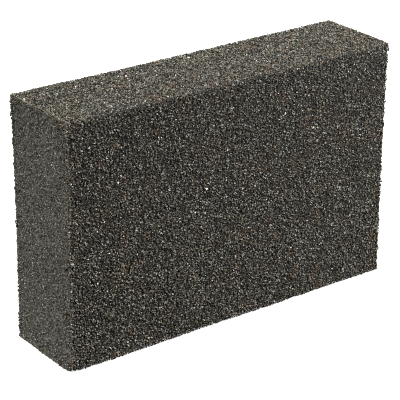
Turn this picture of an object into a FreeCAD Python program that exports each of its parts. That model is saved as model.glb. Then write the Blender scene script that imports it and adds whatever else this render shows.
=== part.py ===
import FreeCAD, Part
import os

# Sanding block: a flexible foam sponge with abrasive on its four long sides.
#
# The block stands on one long narrow side.
#   X runs along the length of the block, from one bare foam end to the other.
#   Y runs through its thickness, from the front working face (-Y) to the back one (+Y).
#   Z runs up its width, from the side it stands on to the side above it.
# The origin is the centre of the side it stands on.
#
# The block is a bar of foam, cut to length from a long coated plank, so the two ends are
# bare foam. Each long side carries two coats of its own: a bond coat of cured resin on
# the foam, and a layer of grit held by it. The coats of neighbouring sides meet on a
# mitre at the long edges. All sizes are in millimetres.

# Whole block, measured over the grit
LENGTH = 100.0
THICKNESS = 25.0
WIDTH = 66.0
EDGE_RADIUS = 1.0

# Coats on the four long sides
GRIT_DEPTH = 0.45
BOND_DEPTH = 0.25

# Depth to which the corner mitres divide the coats, more than both coats together
MITRE_DEPTH = 2.0

# Room left outside the block by the wedges that divide the coats
WEDGE_MARGIN = 1.0

# A side's outward direction, as a turn about the X axis from straight down
SIDE_TURNS = {"bottom": 0, "back": 90, "top": 180, "front": 270}


def rounded_bar(inset):
    """A bar of the block's length, inset from its long sides, with rounded long edges."""
    bar = Part.makeBox(
        LENGTH,
        THICKNESS - 2 * inset,
        WIDTH - 2 * inset,
        FreeCAD.Vector(-LENGTH / 2, -THICKNESS / 2 + inset, inset),
    )
    along_length = [edge for edge in bar.Edges if abs(edge.tangentAt(0).x) > 0.5]
    return bar.makeFillet(EDGE_RADIUS - inset, along_length)


def side_wedge(side):
    """A prism that holds the coats of one long side, cut off by a mitre at each long edge."""
    half_height = (WIDTH if side in ("bottom", "top") else THICKNESS) / 2
    half_span = (THICKNESS if side in ("bottom", "top") else WIDTH) / 2
    outer = half_span + WEDGE_MARGIN
    inner = half_span - MITRE_DEPTH
    profile = [
        (-outer, -half_height - WEDGE_MARGIN),
        (outer, -half_height - WEDGE_MARGIN),
        (inner, -half_height + MITRE_DEPTH),
        (-inner, -half_height + MITRE_DEPTH),
    ]
    start = -LENGTH / 2 - WEDGE_MARGIN
    corners = [FreeCAD.Vector(start, y, z) for y, z in profile]
    face = Part.Face(Part.makePolygon(corners + corners[:1]))
    wedge = face.extrude(FreeCAD.Vector(LENGTH + 2 * WEDGE_MARGIN, 0, 0))
    centre = FreeCAD.Vector(0, 0, 0)
    wedge.rotate(centre, FreeCAD.Vector(1, 0, 0), SIDE_TURNS[side])
    wedge.translate(FreeCAD.Vector(0, 0, WIDTH / 2))
    return wedge


def side_coat(side, outer_inset, depth):
    """One coat on one long side, with its outer surface inset from the block's own."""
    sleeve = rounded_bar(outer_inset).cut(rounded_bar(outer_inset + depth))
    return sleeve.common(side_wedge(side))


def save(node, shape):
    """Write one sub-part as its own STEP file, as a single closed solid."""
    solid = shape.Solids[0]
    assert len(shape.Solids) == 1 and solid.isValid(), node
    solid.exportStep("parts/" + node + ".step")


os.makedirs("parts", exist_ok=True)

save("foam_core", rounded_bar(GRIT_DEPTH + BOND_DEPTH))

for side_name in SIDE_TURNS:
    save(side_name + "_bond_coat", side_coat(side_name, GRIT_DEPTH, BOND_DEPTH))
    save(side_name + "_grit_layer", side_coat(side_name, 0.0, GRIT_DEPTH))
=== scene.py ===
import math

import bmesh
import bpy
import numpy as np
from mathutils import Matrix, Vector
from mathutils.kdtree import KDTree


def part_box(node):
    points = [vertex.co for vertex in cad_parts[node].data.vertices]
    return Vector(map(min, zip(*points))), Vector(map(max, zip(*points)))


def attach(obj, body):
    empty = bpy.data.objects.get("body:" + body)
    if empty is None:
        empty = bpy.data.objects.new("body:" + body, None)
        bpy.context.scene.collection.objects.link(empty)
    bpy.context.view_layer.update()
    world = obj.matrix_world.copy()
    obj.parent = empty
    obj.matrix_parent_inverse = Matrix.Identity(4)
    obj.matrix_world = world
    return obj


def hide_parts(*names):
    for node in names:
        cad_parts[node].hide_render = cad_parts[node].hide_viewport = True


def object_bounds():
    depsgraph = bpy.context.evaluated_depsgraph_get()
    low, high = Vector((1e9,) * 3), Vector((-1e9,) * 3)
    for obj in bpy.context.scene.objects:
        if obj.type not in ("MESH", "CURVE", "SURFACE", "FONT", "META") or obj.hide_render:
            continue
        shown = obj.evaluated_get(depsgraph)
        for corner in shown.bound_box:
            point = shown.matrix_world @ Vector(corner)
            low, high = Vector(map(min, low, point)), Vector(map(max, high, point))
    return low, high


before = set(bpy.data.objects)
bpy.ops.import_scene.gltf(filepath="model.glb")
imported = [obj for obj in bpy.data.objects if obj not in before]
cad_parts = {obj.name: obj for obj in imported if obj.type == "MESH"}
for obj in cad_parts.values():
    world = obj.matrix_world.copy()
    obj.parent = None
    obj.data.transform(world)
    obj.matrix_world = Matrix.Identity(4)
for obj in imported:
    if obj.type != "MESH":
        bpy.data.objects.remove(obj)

# A foam sanding block, standing on one long narrow side. Lengths are in metres, in the
# frame's own axes: X along the block, Y through its thickness with the front at -Y, and
# Z up its width from the side it stands on.

MM = 0.001
TINY = 1e-9
SEED = 4063
CAD_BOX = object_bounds()

# ---------------------------------------------------------------------------------------
# The block's dimensions, read from the frame
# ---------------------------------------------------------------------------------------

LOW = np.array(CAD_BOX[0])
HIGH = np.array(CAD_BOX[1])
CENTRE = (LOW + HIGH) / 2
HALF = (HIGH - LOW) / 2
BOND_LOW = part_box("front_bond_coat")[0]
CORE_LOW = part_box("foam_core")[0]
GRIT_DEPTH = BOND_LOW.y - LOW[1]
BOND_DEPTH = CORE_LOW.y - BOND_LOW.y

# The coats meet on a mitre, half way round the rounded long edges. The front's grit ends
# there, so its lowest point gives the radius of those edges.
MITRE = math.pi / 4
EDGE_RADIUS = (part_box("front_grit_layer")[0].z - LOW[2]) / (1 - math.cos(MITRE))

# Each long side's outward direction, and the direction across it
SIDES = {
    "front": ((0, -1, 0), (0, 0, 1)),
    "back": ((0, 1, 0), (0, 0, 1)),
    "top": ((0, 0, 1), (0, 1, 0)),
    "bottom": ((0, 0, -1), (0, 1, 0)),
}

# ---------------------------------------------------------------------------------------
# Settings of the looks
# ---------------------------------------------------------------------------------------

# Crystals: closed convex shapes about one unit across, that the grains are picked from.
# Each has 6 to 8 corners, because the second number of SHAPE_CORNERS is left out.
SHAPE_COUNT = 28
SHAPE_CORNERS = (6, 9)
SHAPE_UNEVENNESS = 0.28
SHAPE_STRETCH = (0.78, 1.18)

# Grit: crushed grains on a loose hexagonal net. A grain's inset is how deep its middle
# lies under the side's face. The relief is the slow rise and fall of the whole layer,
# and is calmer where the layer turns round a long edge.
GRAIN_PITCH = 0.46 * MM
GRAIN_WIDTH = (0.30 * MM, 0.64 * MM)
GRAIN_SEAT = 0.23 * MM
GRAIN_RISE = 0.08 * MM
GRAIN_JITTER = 0.45
GRAIN_INSETS = (0.02 * MM, 0.62 * MM)
MISSING_SHARE = 0.04
RELIEF_CELL = 0.62 * MM
RELIEF_DEPTH = 0.21 * MM
EDGE_CALM = 0.65
GRAIN_OVERHANG = 0.04 * MM

# Patches of colour in the grit, as sizes of the patches and gains on the kinds' shares
PATCH_CELLS = (1.2 * MM, 3.4 * MM)
BROWN_PATCHES = 15.0
BROWN_LEAST = 0.05
DARK_PATCHES = 0.40

# Cured resin between the grains
RESIN_PITCH = 0.60 * MM
RESIN_CELL = 1.6 * RESIN_PITCH
RESIN_RELIEF = 0.08 * MM

# Bare foam ends: a net of points, and round pores cut through by the knife
FOAM_PITCH = 0.18 * MM
FOAM_JITTER = 0.30
PORE_PITCH = 0.38 * MM
PORE_RADIUS = (0.08 * MM, 0.27 * MM)
PORE_DEPTH = 0.9
# A face whose mean depth passes this share of the largest pore radius gets the darker pore material,
# which is painted shade in the pores.
PORE_SHADED = 0.35
WALL_RELIEF = 0.12 * MM

# Ragged fringe: grains that spill over the cut edges of the coats, scattered finely and
# thinned to a share. Near those edges the kinds of grain change: the gains and the loss
# make them browner, and paler with less charcoal. The brown is their own colour. The
# paleness is partly dust and partly painted light, lifting the shade that the overhanging
# grains cast along the edges.
RIM_PITCH = 0.035 * MM
RIM_SHARE = 0.38
RIM_RAGGED = 0.9
RIM_DEPTH = 0.45 * MM
RIM_OVERHANG = {"front": 0.44 * MM, "back": 0.28 * MM, "top": 0.12 * MM, "bottom": 0.2 * MM}
RIM_SINK = 0.12 * MM
RIM_CELL = 1.1 * MM
RIM_REACH = 1.0 * MM
BROWN_GAIN = 4.5
GREY_GAIN_PAINTED_LIGHT = 2.5
PALE_GAIN_DUST_AND_PAINTED_LIGHT = 7.0
CHARCOAL_LOSS_PAINTED_LIGHT = 0.9

# Grit dust caught in the cut ends
DUST_COUNT = 2200
DUST_WIDTH = (0.10 * MM, 0.55 * MM)

# Soft shape: the rounding of the edges at the ends, how far the sides and ends pull in
# half way between their edges, and how much the whole block waves
END_ROUND = 0.6 * MM
END_DISH = 0.30 * MM
FACE_DISH = 0.12 * MM
STANDING_ARCH = 0.12 * MM
WAVE_LENGTH = 21 * MM
WAVE_HEIGHT = 0.06 * MM

# Corners of the front's left edge: how far each is rubbed down, and the fringe of brown
# grains that spreads over the upper one
RUBBED_CORNERS = {(-1, -1, -1): 1.1 * MM, (-1, -1, 1): 0.8 * MM}
RUBBED_REACH = 3.5 * MM
BROWN_CORNER = (-1, -1, 1)
CORNER_REACH = 6 * MM
CORNER_GAIN = 14.0
CORNER_SPREAD = 1.0


# ---------------------------------------------------------------------------------------
# Shape helpers
# ---------------------------------------------------------------------------------------


def half_extent(direction):
    """Distance from the block's middle to its surface along one of the frame's axes."""
    return float(np.abs(np.array(direction, float)) @ HALF)


def side_reach(side):
    """How far a side's coats run from their middle line, over the outer surface."""
    return half_extent(SIDES[side][1]) - EDGE_RADIUS + EDGE_RADIUS * MITRE


def on_side(side, across, along, inset):
    """Points at a depth under a long side.

    across is measured over the outer surface from the side's middle line, and turns
    with the rounded long edge. along is measured from the middle of the block.
    """
    outward, sideways = (np.array(d, float) for d in SIDES[side])
    flat = half_extent(sideways) - EDGE_RADIUS
    turn = np.clip(np.abs(across) - flat, 0, None) / EDGE_RADIUS
    radius = EDGE_RADIUS - inset
    sign = np.sign(across)
    reach = np.minimum(np.abs(across), flat) + radius * np.sin(turn)
    height = half_extent(outward) - EDGE_RADIUS + radius * np.cos(turn)
    return (
        CENTRE
        + along[:, None] * np.array([1.0, 0.0, 0.0])
        + (sign * reach)[:, None] * sideways
        + height[:, None] * outward
    )


def smooth_noise(u, v, cell, rng):
    """Smooth random heights from -1 to 1 over a plane, with features about a cell across."""
    column, row = u / cell, v / cell
    column, row = column - column.min(), row - row.min()
    i, j = np.floor(column).astype(int), np.floor(row).astype(int)
    knots = rng.uniform(-1, 1, (i.max() + 2, j.max() + 2))
    a, b = column - i, row - j
    a, b = a * a * (3 - 2 * a), b * b * (3 - 2 * b)
    near = knots[i, j] * (1 - b) + knots[i, j + 1] * b
    far = knots[i + 1, j] * (1 - b) + knots[i + 1, j + 1] * b
    return near * (1 - a) + far * a


def wave(u, v):
    """A gentle swell from -1 to 1, with no repeat over the length of the block."""
    turn = 2 * math.pi / WAVE_LENGTH
    return 0.5 * np.sin(turn * (u + 0.4 * v)) + 0.5 * np.sin(0.61 * turn * (v - 0.7 * u) + 1)


def nearness(points, corner, reach):
    """How near each point is to one of the block's corners, from 1 at it to 0."""
    distance = np.linalg.norm(points - CENTRE - HALF * np.array(corner), axis=1)
    return np.clip(1 - distance / reach, 0, None)


def rounded_ends(points):
    """The same points with the edges round the two ends a little softened."""
    place = points - CENTRE
    over = np.clip(np.abs(place) - (HALF - END_ROUND), 0, None)
    endward, outward = over[:, 0], np.hypot(over[:, 1], over[:, 2])
    reach = np.maximum(np.hypot(endward, outward), TINY)
    share = np.where((endward > 0) & (outward > 0), np.maximum(endward, outward) / reach, 1)
    return points - np.sign(place) * over * (1 - share[:, None])


def softened(points):
    """The same points with the block's soft shape: dished, waved and rubbed at two corners."""
    place = points - CENTRE
    u, v, w = (place / HALF).T
    x, y, z = place.T
    moved = rounded_ends(points)
    within_x, within_z = np.clip(1 - u ** 2, 0, None), np.clip(1 - w ** 2, 0, None)
    moved[:, 0] -= END_DISH * u ** 3 * within_z + WAVE_HEIGHT * u * (1 + wave(z, y))
    moved[:, 1] -= FACE_DISH * v * within_x * within_z + WAVE_HEIGHT * v * (1 + wave(x, z))
    moved[:, 2] -= STANDING_ARCH * w * within_x + WAVE_HEIGHT * w * (1 + wave(y, x))
    for corner, depth in RUBBED_CORNERS.items():
        inward = -np.array(corner) / math.sqrt(3)
        near = nearness(points, corner, RUBBED_REACH)
        moved += depth * near[:, None] ** 2 * inward
    return moved


def mesh_piece(name, points, faces, materials, shades):
    """A piece made of one mesh, with a material for each face, riding on the one body."""
    mesh = bpy.data.meshes.new(name)
    mesh.from_pydata(points, [], faces)
    for material in materials:
        mesh.materials.append(material)
    mesh.polygons.foreach_set("material_index", shades.astype(np.int32))
    mesh.update()
    piece = bpy.data.objects.new(name, mesh)
    bpy.context.scene.collection.objects.link(piece)
    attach(piece, "root")
    return piece


def face_outward(piece):
    """Turns every face of a closed piece to look outwards."""
    closed = bmesh.new()
    closed.from_mesh(piece.data)
    bmesh.ops.recalc_face_normals(closed, faces=closed.faces)
    closed.to_mesh(piece.data)
    closed.free()


# ---------------------------------------------------------------------------------------
# Materials
# ---------------------------------------------------------------------------------------


def new_material(name, colour, roughness, ior):
    """A material with one Principled shader, and its node tree for what varies."""
    material = bpy.data.materials.new(name)
    material.use_nodes = True
    shader = material.node_tree.nodes["Principled BSDF"]
    shader.inputs["Base Color"].default_value = (*colour, 1)
    shader.inputs["Roughness"].default_value = roughness
    shader.inputs["IOR"].default_value = ior
    return material, material.node_tree, shader


def noise_node(tree, scale, detail):
    """A noise texture measured in the block's own metres, so that it has a real size."""
    place = tree.nodes.new("ShaderNodeTexCoord")
    noise = tree.nodes.new("ShaderNodeTexNoise")
    noise.inputs["Scale"].default_value = scale
    noise.inputs["Detail"].default_value = detail
    tree.links.new(place.outputs["Object"], noise.inputs["Vector"])
    return noise


def ramp_node(tree, source, stops):
    """A colour ramp from (place, colour) stops, driven by a number."""
    ramp = tree.nodes.new("ShaderNodeValToRGB")
    elements = ramp.color_ramp.elements
    for place, colour in stops[1:-1]:
        elements.new(place)
    for element, (place, colour) in zip(elements, stops):
        element.position = place
        element.color = (*colour, 1)
    tree.links.new(source, ramp.inputs["Fac"])
    return ramp


def range_node(tree, source, start, end):
    """A number from 0 to 1 turned into one from start to end."""
    spread = tree.nodes.new("ShaderNodeMapRange")
    spread.inputs["To Min"].default_value = start
    spread.inputs["To Max"].default_value = end
    tree.links.new(source, spread.inputs["Value"])
    return spread


def bump_node(tree, source, shader, distance, strength):
    """Fine relief too small for the mesh."""
    bump = tree.nodes.new("ShaderNodeBump")
    bump.inputs["Distance"].default_value = distance
    bump.inputs["Strength"].default_value = strength
    tree.links.new(source, bump.inputs["Height"])
    tree.links.new(bump.outputs["Normal"], shader.inputs["Normal"])


def grain_material(name, colour, gloss, ior):
    """Crushed mineral: every grain is one colour, and no two break with the same polish."""
    material, tree, shader = new_material(name, colour, gloss[0], ior)
    grain = tree.nodes.new("ShaderNodeNewGeometry")
    spread = range_node(tree, grain.outputs["Random Per Island"], *gloss)
    tree.links.new(spread.outputs["Result"], shader.inputs["Roughness"])
    return material


def resin_material():
    """Dark cured resin, with paler, browner and duller spots."""
    material, tree, shader = new_material("cured_resin", (0.012, 0.011, 0.009), roughness=0.6, ior=1.5)
    mottle = noise_node(tree, scale=1500, detail=2)
    colours = ((0.3, (0.006, 0.0055, 0.0045)), (0.7, (0.022, 0.018, 0.013)))
    ramp = ramp_node(tree, mottle.outputs["Fac"], colours)
    tree.links.new(ramp.outputs["Color"], shader.inputs["Base Color"])
    spread = range_node(tree, mottle.outputs["Fac"], start=0.5, end=0.8)
    tree.links.new(spread.outputs["Result"], shader.inputs["Roughness"])
    dimples = noise_node(tree, scale=3000, detail=1)
    bump_node(tree, dimples.outputs["Fac"], shader, distance=0.10 * MM, strength=0.8)
    return material


def cut_resin_dust_and_painted_light_material():
    """The knife-cut edge of the coats: matt and dusty, and much paler than the film. The
    paleness is partly painted light that lifts the shade along the edge.
    """
    material, tree, shader = new_material("cut_resin_edge_dust_and_painted_light", (0.10, 0.085, 0.065), roughness=0.8, ior=1.5)
    mottle = noise_node(tree, scale=2200, detail=3)
    # The pale end of the ramp is partly painted light along the cut edge.
    colours = ((0.35, (0.10, 0.088, 0.071)), (0.65, (0.34, 0.298, 0.242)))
    ramp = ramp_node(tree, mottle.outputs["Fac"], colours)
    tree.links.new(ramp.outputs["Color"], shader.inputs["Base Color"])
    bump_node(tree, mottle.outputs["Fac"], shader, distance=0.08 * MM, strength=0.7)
    return material


def foam_material():
    """Cell walls of the cut foam: dark grey with paler and darker spots."""
    material, tree, shader = new_material("cut_foam", (0.08, 0.078, 0.07), roughness=0.85, ior=1.45)
    cells = noise_node(tree, scale=2600, detail=3)
    colours = (
        (0.36, (0.062, 0.0615, 0.053)),
        (0.50, (0.135, 0.134, 0.116)),
        (0.59, (0.240, 0.238, 0.207)),
        (0.68, (0.560, 0.555, 0.490)),
    )
    ramp = ramp_node(tree, cells.outputs["Fac"], colours)
    tree.links.new(ramp.outputs["Color"], shader.inputs["Base Color"])
    spread = range_node(tree, cells.outputs["Fac"], start=0.95, end=0.7)
    tree.links.new(spread.outputs["Result"], shader.inputs["Roughness"])
    bump_node(tree, cells.outputs["Fac"], shader, distance=0.08 * MM, strength=0.8)
    return material


def pore_painted_shade_material():
    """The inside of the pores, painted darker than the walls between them: painted shade."""
    material, tree, shader = new_material("foam_pore_painted_shade", (0.03, 0.03, 0.026), roughness=0.9, ior=1.45)
    cells = noise_node(tree, scale=3000, detail=2)
    colours = ((0.35, (0.030, 0.0295, 0.026)), (0.65, (0.085, 0.084, 0.073)))
    ramp = ramp_node(tree, cells.outputs["Fac"], colours)
    tree.links.new(ramp.outputs["Color"], shader.inputs["Base Color"])
    return material


# Kinds of grain: weight in the mix, shades, and the mineral's roughness and refraction
GRAIN_KINDS = {
    "charcoal": {
        "share": 0.36,
        "shades": ((0.010, 0.0096, 0.007), (0.024, 0.023, 0.017), (0.050, 0.0485, 0.037)),
        "gloss": (0.35, 0.60),
        "ior": 1.75,
    },
    "grey": {
        "share": 0.46,
        "shades": ((0.068, 0.0680, 0.054), (0.104, 0.1015, 0.077), (0.150, 0.144, 0.109)),
        "gloss": (0.32, 0.55),
        "ior": 1.7,
    },
    "brown": {
        "share": 0.18,
        "shades": ((0.052, 0.0405, 0.028), (0.092, 0.0705, 0.047), (0.150, 0.1135, 0.075)),
        "gloss": (0.35, 0.60),
        "ior": 1.7,
    },
    "pale": {
        "share": 0.03,
        "shades": ((0.22, 0.217, 0.175), (0.32, 0.316, 0.26), (0.46, 0.455, 0.38)),
        "gloss": (0.20, 0.40),
        "ior": 1.77,
    },
}


# ---------------------------------------------------------------------------------------
# Grit
# ---------------------------------------------------------------------------------------


def grain_shapes(rng):
    """Closed convex crystals, as (corner points, triangles), from uneven balls of points."""
    shapes = []
    for _ in range(SHAPE_COUNT):
        count = int(rng.integers(*SHAPE_CORNERS))
        steps = np.arange(count) + 0.5
        height = 1 - 2 * steps / count
        angle = steps * math.pi * (3 - math.sqrt(5)) + rng.uniform(0, 2 * math.pi)
        ring = np.sqrt(1 - height ** 2)
        ball = np.stack([ring * np.cos(angle), ring * np.sin(angle), height], 1)
        ball += rng.normal(0, SHAPE_UNEVENNESS, ball.shape)
        ball /= np.linalg.norm(ball, axis=1)[:, None]
        ball *= 0.5 * rng.uniform(*SHAPE_STRETCH, 3)
        hull = bmesh.new()
        for corner in ball:
            hull.verts.new(corner)
        bmesh.ops.convex_hull(hull, input=hull.verts)
        bmesh.ops.triangulate(hull, faces=hull.faces)
        bmesh.ops.recalc_face_normals(hull, faces=hull.faces)
        hull.verts.index_update()
        points = np.array([corner.co for corner in hull.verts])
        triangles = np.array([[c.index for c in face.verts] for face in hull.faces])
        hull.free()
        shapes.append((points, triangles))
    return shapes


def random_turns(count, rng):
    """Rotation matrices spread evenly over all directions."""
    q = rng.normal(size=(count, 4))
    w, x, y, z = (q / np.linalg.norm(q, axis=1)[:, None]).T
    rows = [
        [1 - 2 * (y * y + z * z), 2 * (x * y - w * z), 2 * (x * z + w * y)],
        [2 * (x * y + w * z), 1 - 2 * (x * x + z * z), 2 * (y * z - w * x)],
        [2 * (x * z - w * y), 2 * (y * z + w * x), 1 - 2 * (x * x + y * y)],
    ]
    return np.array(rows).transpose(2, 0, 1)


def scatter(side, rng):
    """Places of one side's grains: across, along and inset, on a loose hexagonal net."""
    reach = side_reach(side)
    row_gap = GRAIN_PITCH * math.sqrt(3) / 2
    rows = np.arange(-reach + row_gap / 2, reach, row_gap)
    end = HALF[0] + GRAIN_OVERHANG
    places = np.arange(-end, end, GRAIN_PITCH)
    across = np.repeat(rows, len(places))
    along = np.tile(places, len(rows))
    along += np.repeat(np.arange(len(rows)) % 2, len(places)) * GRAIN_PITCH / 2
    across += rng.uniform(-1, 1, across.shape) * GRAIN_JITTER * GRAIN_PITCH
    along += rng.uniform(-1, 1, along.shape) * GRAIN_JITTER * GRAIN_PITCH
    kept = (rng.random(across.shape) > MISSING_SHARE) & (np.abs(along) < end)
    across, along = across[kept], along[kept]
    relief = smooth_noise(across, along, RELIEF_CELL, rng)
    rise = rng.normal(0, GRAIN_RISE, across.shape)
    calm = np.where(np.abs(across) > reach - EDGE_RADIUS * MITRE, EDGE_CALM, 1)
    inset = GRAIN_SEAT - calm * (RELIEF_DEPTH * relief + rise)
    return across, along, np.clip(inset, *GRAIN_INSETS)


def grain_mesh(points, widths, shapes, rng):
    """Corner points and triangles of many separate grains, each turned its own way."""
    turns = random_turns(len(points), rng)
    picks = rng.integers(0, len(shapes), len(points))
    all_points, all_triangles, owners, start = [], [], [], 0
    for number, (corners, triangles) in enumerate(shapes):
        mine = np.flatnonzero(picks == number)
        turned = np.einsum("gij,cj->gci", turns[mine], corners)
        placed = points[mine][:, None] + widths[mine][:, None, None] * turned
        offsets = start + np.arange(len(mine)) * len(corners)
        all_points.append(placed.reshape(-1, 3))
        all_triangles.append((triangles[None] + offsets[:, None, None]).reshape(-1, 3))
        owners.append(np.repeat(mine, len(triangles)))
        start += len(mine) * len(corners)
    return np.concatenate(all_points), np.concatenate(all_triangles), np.concatenate(owners)


def rim_grains(side, rng):
    """Places of the grains that spill over the cut edges of one side's coats, in clumps.

    The noise field is read along two lines, one for each end, that are four cells apart.
    """
    reach = side_reach(side)
    count = int(2 * reach / RIM_PITCH)
    across = rng.uniform(-reach, reach, 2 * count)
    ends = np.repeat([-1, 1], count)
    clump = smooth_noise(across, ends * 2 * RIM_CELL, RIM_CELL, rng)
    overhang = RIM_OVERHANG[side] * clump - RIM_SINK * rng.uniform(0, 1, 2 * count)
    along = ends * (HALF[0] + overhang)
    near = nearness(on_side(side, across, along, 0), BROWN_CORNER, CORNER_REACH)
    depth = RIM_DEPTH * (1 + RIM_RAGGED * clump) * (1 + CORNER_SPREAD * near)
    inset = rng.exponential(depth)
    kept = rng.random(2 * count) < RIM_SHARE + (1 - RIM_SHARE) * near
    return across[kept], along[kept], inset[kept]


def pick_kinds(across, along, points, rng):
    """The number of each grain's kind, drawn by weights that vary over the side.

    Brown and charcoal come in patches, each from a fine and a coarse noise field.
    """
    shares = np.array([kind["share"] for kind in GRAIN_KINDS.values()])
    weights = np.tile(shares, (len(across), 1))
    fields = [smooth_noise(across, along, cell, rng) for cell in 2 * PATCH_CELLS]
    brown = BROWN_PATCHES * np.clip(fields[0] + fields[1], 0, None) ** 2
    dark = DARK_PATCHES * (fields[2] + fields[3])
    # Near the cut ends the mix turns browner, and paler with less charcoal: the paleness is partly dust
    # and partly painted light against the shade along the edges.
    from_end = np.clip(HALF[0] - np.abs(along), 0, None)
    near_end_colour_and_painted_light = np.exp(-from_end / RIM_REACH)
    at_corner = CORNER_GAIN * nearness(points, BROWN_CORNER, CORNER_REACH)
    order = list(GRAIN_KINDS)
    weights[:, order.index("charcoal")] *= (1 + dark) * (1 - CHARCOAL_LOSS_PAINTED_LIGHT * near_end_colour_and_painted_light)
    weights[:, order.index("brown")] *= BROWN_LEAST + brown + BROWN_GAIN * near_end_colour_and_painted_light + at_corner
    weights[:, order.index("grey")] *= 1 + GREY_GAIN_PAINTED_LIGHT * near_end_colour_and_painted_light
    weights[:, order.index("pale")] *= 1 + PALE_GAIN_DUST_AND_PAINTED_LIGHT * near_end_colour_and_painted_light ** 2
    steps = np.cumsum(weights, 1) / weights.sum(1)[:, None]
    return (rng.random(len(across))[:, None] > steps).sum(1)


def make_grit(side, shapes, materials, rng):
    """One long side's layer of grit, as one piece for each kind of mineral grain."""
    places = zip(scatter(side, rng), rim_grains(side, rng))
    across, along, inset = (np.concatenate(pair) for pair in places)
    points = softened(on_side(side, across, along, inset))
    widths = rng.uniform(*GRAIN_WIDTH, len(points))
    kinds = pick_kinds(across, along, points, rng)
    for number, kind in enumerate(GRAIN_KINDS):
        mine = kinds == number
        corners, triangles, owners = grain_mesh(points[mine], widths[mine], shapes, rng)
        shades = rng.integers(0, len(materials[kind]), mine.sum())
        name = f"{side}_{kind}_grains"
        piece = mesh_piece(name, corners, triangles, materials[kind], shades[owners])
        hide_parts(f"{side}_grit_layer")


# ---------------------------------------------------------------------------------------
# Resin
# ---------------------------------------------------------------------------------------


def grid_faces(rows, columns, start, flip=False):
    """Quads of a grid of points numbered row by row from start."""
    index = start + np.arange(rows * columns).reshape(rows, columns)
    quads = np.stack([index[:-1, :-1], index[1:, :-1], index[1:, 1:], index[:-1, 1:]], -1)
    quads = quads.reshape(-1, 4)
    return quads[:, ::-1] if flip else quads


def rim_faces(rows, columns, start, other_start):
    """Quads that join the rims of two grids of the same size."""
    index = np.arange(rows * columns).reshape(rows, columns)
    rim = np.concatenate([index[0, :-1], index[:-1, -1], index[-1, :0:-1], index[:0:-1, 0]])
    after = np.roll(rim, -1)
    return np.stack([rim + start, after + start, after + other_start, rim + other_start], 1)


def make_resin(side, materials, rng):
    """One side's bond coat: a closed sheet, rough outside and smooth against the foam."""
    reach = side_reach(side)
    rows = int(round(2 * reach / RESIN_PITCH)) + 1
    columns = int(round(2 * HALF[0] / RESIN_PITCH)) + 1
    across = np.repeat(np.linspace(-reach, reach, rows), columns)
    along = np.tile(np.linspace(-HALF[0], HALF[0], columns), rows)
    relief = smooth_noise(across, along, RESIN_CELL, rng)
    outer = on_side(side, across, along, GRIT_DEPTH - RESIN_RELIEF * relief)
    inner = on_side(side, across, along, GRIT_DEPTH + BOND_DEPTH)
    points = softened(np.concatenate([outer, inner]))
    size = rows * columns
    sheets = [grid_faces(rows, columns, 0), grid_faces(rows, columns, size, flip=True)]
    rim = rim_faces(rows, columns, 0, size)
    faces = np.concatenate([*sheets, rim])
    # The rim faces are the knife-cut edge, with the paler cut-edge material, partly painted light.
    cut = np.arange(len(faces)) >= len(faces) - len(rim)
    piece = mesh_piece(f"{side}_resin_film", points, faces, materials, cut)
    face_outward(piece)
    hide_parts(f"{side}_bond_coat")


# ---------------------------------------------------------------------------------------
# Foam
# ---------------------------------------------------------------------------------------


def pore_depths(y, z, rng):
    """How deep each point of a cut end lies in one of the pores that the knife opened."""
    rows = np.arange(y.min(), y.max() + PORE_PITCH, PORE_PITCH)
    columns = np.arange(z.min(), z.max() + PORE_PITCH, PORE_PITCH)
    middles = np.stack(np.meshgrid(rows, columns, indexing="ij"), -1).reshape(-1, 2)
    middles += rng.uniform(-0.5, 0.5, middles.shape) * PORE_PITCH
    radii = rng.uniform(*PORE_RADIUS, len(middles))
    tree = KDTree(len(middles))
    for number, (a, b) in enumerate(middles):
        tree.insert((a, b, 0), number)
    tree.balance()
    found = [tree.find((a, b, 0)) for a, b in zip(y, z)]
    radius = radii[[number for _, number, _ in found]]
    ratio = np.array([distance for _, _, distance in found]) / radius
    return PORE_DEPTH * radius * np.sqrt(np.clip(1 - ratio ** 2, 0, None))


def make_foam(materials, rng):
    """The foam core: plain under the coats, with open pores over its two cut ends."""
    half_y, half_z = HALF[1] - GRIT_DEPTH - BOND_DEPTH, HALF[2] - GRIT_DEPTH - BOND_DEPTH
    corner = EDGE_RADIUS - GRIT_DEPTH - BOND_DEPTH
    rows = int(round(2 * half_y / FOAM_PITCH)) + 1
    columns = int(round(2 * half_z / FOAM_PITCH)) + 1
    y = np.repeat(np.linspace(-half_y, half_y, rows), columns)
    z = np.tile(np.linspace(-half_z, half_z, columns), rows)
    over_y = np.clip(np.abs(y) - half_y + corner, 0, None)
    over_z = np.clip(np.abs(z) - half_z + corner, 0, None)
    over = np.hypot(over_y, over_z)
    shrink = np.where(over > corner, corner / np.maximum(over, TINY), 1.0)
    y = y - np.sign(y) * over_y * (1 - shrink)
    z = z - np.sign(z) * over_z * (1 - shrink)
    inside = (np.abs(y) < half_y - TINY) & (np.abs(z) < half_z - TINY) & (over < corner)
    size = rows * columns
    layers, faces, depths = [], [], []
    for number, end in enumerate((-1, 1)):
        shift = rng.uniform(-1, 1, (2, size)) * FOAM_JITTER * FOAM_PITCH * inside
        pores = pore_depths(y + shift[0], z + shift[1], rng) * inside
        x = end * (HALF[0] - pores - rng.uniform(0, WALL_RELIEF, size) * inside)
        layers.append(np.stack([x, y + shift[0], z + shift[1]], 1) + CENTRE)
        faces.append(grid_faces(rows, columns, number * size, flip=end > 0))
        depths.append(pores)
    faces.append(rim_faces(rows, columns, 0, size))
    points = softened(np.concatenate(layers))
    faces = np.concatenate(faces)
    # The deep faces of the pores get the darker pore material: painted shade.
    shaded = np.concatenate(depths)[faces].mean(1) > PORE_SHADED * PORE_RADIUS[1]
    piece = mesh_piece("foam_sponge", points, faces, materials, shaded)
    face_outward(piece)
    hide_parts("foam_core")


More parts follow.
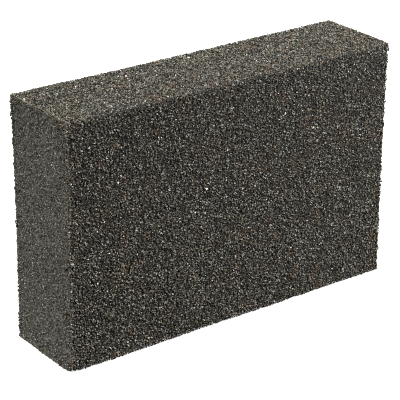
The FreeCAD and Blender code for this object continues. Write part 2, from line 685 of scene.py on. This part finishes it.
def make_dust(shapes, materials, rng):
    """Grit dust left on the cut ends when the block was cut from its plank."""
    half_y, half_z = HALF[1] - 2 * GRIT_DEPTH, HALF[2] - 2 * GRIT_DEPTH
    for label, end in (("left", -1), ("right", 1)):
        y, z = rng.uniform(-1, 1, (2, DUST_COUNT)) * np.array([[half_y], [half_z]])
        x = np.full(DUST_COUNT, end * (HALF[0] - WALL_RELIEF))
        points = softened(np.stack([x, y, z], 1) + CENTRE)
        widths = DUST_WIDTH[0] + np.ptp(DUST_WIDTH) * rng.random(DUST_COUNT) ** 3
        corners, triangles, owners = grain_mesh(points, widths, shapes, rng)
        shades = rng.integers(0, len(materials), DUST_COUNT)
        piece = mesh_piece(f"{label}_end_dust", corners, triangles, materials, shades[owners])


# ---------------------------------------------------------------------------------------
# Studio
# ---------------------------------------------------------------------------------------

# Directions are a bearing, from the front round to the right, and a height above the
# floor. All angles are in degrees. The camera looks at a point a little off the block's
# middle, which is what VIEW_AIM holds. Its lens and sensor are in millimetres.
VIEW_BEARING = -36.87
VIEW_HEIGHT = 23.5
VIEW_ROLL = 0.4
VIEW_DISTANCE = 456.8 * MM
VIEW_AIM = np.array([-2.0, -0.1, -2.9]) * MM
VIEW_LENS = 159.7
SENSOR = 36.0

# Width of the renderer's pixel filter, in pixels. A narrow one is crisper.
FILTER_WIDTH = 1.2

# Brightness of the surround, as a source of light and as the camera sees it
AMBIENT = 0.03
BACKDROP = 1.0

# Broad soft lights from far away, with their spread in degrees
SUNS = {
    "key_light": {
        "bearing": 42,
        "height": 50,
        "spread": 9,
        "strength": 3.2,
        "colour": (1.0, 0.985, 0.955),
    },
    "left_light": {
        "bearing": -75,
        "height": 42,
        "spread": 14,
        "strength": 1.8,
        "colour": (1.0, 0.99, 0.965),
    },
    "overhead_light": {
        "bearing": VIEW_BEARING,
        "height": 80,
        "spread": 14,
        "strength": 1.1,
        "colour": (1.0, 0.93, 0.80),
    },
    "back_light": {
        "bearing": 180,
        "height": 14,
        "spread": 28,
        "strength": 2.4,
        "colour": (1.0, 0.96, 0.89),
    },
}

# A small soft box near the right of the front, aimed a little above the floor
FILL = {"bearing": 42, "height": 20, "distance": 0.32, "size": 0.15, "power": 0.75}
AIM_HEIGHT = 0.03

FLOOR_REACH = 6.0
FLOOR_GAP = 0.05 * MM
FLOOR_GLOW = 0.8


def away(bearing, height):
    """The direction from the block towards a bearing and a height in degrees."""
    turn, lift = math.radians(bearing), math.radians(height)
    level = math.cos(lift)
    return np.array([math.sin(turn) * level, -math.cos(turn) * level, math.sin(lift)])


def make_camera():
    """A long lens a little above the block, to the left of its front."""
    back = away(VIEW_BEARING, VIEW_HEIGHT)
    level = np.cross(-back, [0, 0, 1])
    level /= np.linalg.norm(level)
    upward = np.cross(level, -back)
    roll = math.radians(VIEW_ROLL)
    right = math.cos(roll) * level + math.sin(roll) * upward
    up = math.cos(roll) * upward - math.sin(roll) * level
    camera = bpy.data.objects.new("camera", bpy.data.cameras.new("camera"))
    camera.data.lens = VIEW_LENS
    camera.data.sensor_width = SENSOR
    camera.data.clip_start = 10 * MM
    place = CENTRE + VIEW_AIM + VIEW_DISTANCE * back
    matrix = np.eye(4)
    matrix[:3, 0], matrix[:3, 1], matrix[:3, 2], matrix[:3, 3] = right, up, back, place
    camera.matrix_world = Matrix(matrix.tolist())
    bpy.context.scene.collection.objects.link(camera)
    bpy.context.scene.camera = camera


def make_light(name, kind, bearing, height, distance):
    """A light that looks at the block from a distance."""
    direction = Vector(away(bearing, height))
    light = bpy.data.objects.new(name, bpy.data.lights.new(name, kind))
    light.location = direction * distance + Vector((0, 0, AIM_HEIGHT))
    light.rotation_euler = direction.to_track_quat("Z", "Y").to_euler()
    bpy.context.scene.collection.objects.link(light)
    return light.data


def make_sun(name, bearing, height, spread, strength, colour):
    """A broad soft light that is the same all over the floor."""
    light = make_light(name, "SUN", bearing, height, 1)
    light.angle = math.radians(spread)
    light.energy = strength
    light.color = colour


def make_fill(bearing, height, distance, size, power):
    """A small soft box close by, which lifts the right of the front."""
    light = make_light("fill_softbox", "AREA", bearing, height, distance)
    light.shape = "SQUARE"
    light.size = size
    light.energy = power


def make_floor():
    """A large pale floor under the block, which glows but doesn't light it."""
    material, _, shader = new_material("pale_floor", (0.85, 0.85, 0.85), roughness=0.9, ior=1.45)
    shader.inputs["Emission Color"].default_value = (1, 1, 1, 1)
    shader.inputs["Emission Strength"].default_value = FLOOR_GLOW
    mesh = bpy.data.meshes.new("floor")
    corners = [(x * FLOOR_REACH, y * FLOOR_REACH, 0) for x, y in ((-1, -1), (1, -1), (1, 1), (-1, 1))]
    mesh.from_pydata(corners, [], [(0, 1, 2, 3)])
    mesh.materials.append(material)
    floor = bpy.data.objects.new("floor", mesh)
    floor.location.z = LOW[2] - FLOOR_GAP
    floor.visible_diffuse = False
    floor.visible_glossy = False
    bpy.context.scene.collection.objects.link(floor)


def make_world():
    """An even studio surround: bright behind the block, dimmer as a source of light."""
    world = bpy.data.worlds.new("studio")
    bpy.context.scene.world = world
    world.use_nodes = True
    tree = world.node_tree
    background = tree.nodes["Background"]
    path = tree.nodes.new("ShaderNodeLightPath")
    spread = range_node(tree, path.outputs["Is Camera Ray"], AMBIENT, BACKDROP)
    background.inputs["Color"].default_value = (1, 1, 1, 1)
    tree.links.new(spread.outputs["Result"], background.inputs["Strength"])


# ---------------------------------------------------------------------------------------
# Making
# ---------------------------------------------------------------------------------------

# Plain colours and a crisp filter, and no denoising, because that would smear the grit
bpy.context.scene.view_settings.view_transform = "Standard"
bpy.context.scene.cycles.use_denoising = False
bpy.context.scene.cycles.filter_width = FILTER_WIDTH

rng = np.random.default_rng(SEED)
crystals = grain_shapes(rng)
grain_materials = {
    name: [
        grain_material(f"{name}_grain_{number}", shade, kind["gloss"], kind["ior"])
        for number, shade in enumerate(kind["shades"], 1)
    ]
    for name, kind in GRAIN_KINDS.items()
}
resin_materials = [resin_material(), cut_resin_dust_and_painted_light_material()]
for side in SIDES:
    make_grit(side, crystals, grain_materials, rng)
    make_resin(side, resin_materials, rng)
make_foam([foam_material(), pore_painted_shade_material()], rng)
chalk = grain_material("chalky_dust", (0.75, 0.74, 0.67), gloss=(0.6, 0.8), ior=1.5)
dust_materials = [chalk, *grain_materials["pale"], *grain_materials["brown"]]
make_dust(crystals, dust_materials, rng)

make_floor()
make_world()
for name, sun in SUNS.items():
    make_sun(name, **sun)
make_fill(**FILL)
make_camera()
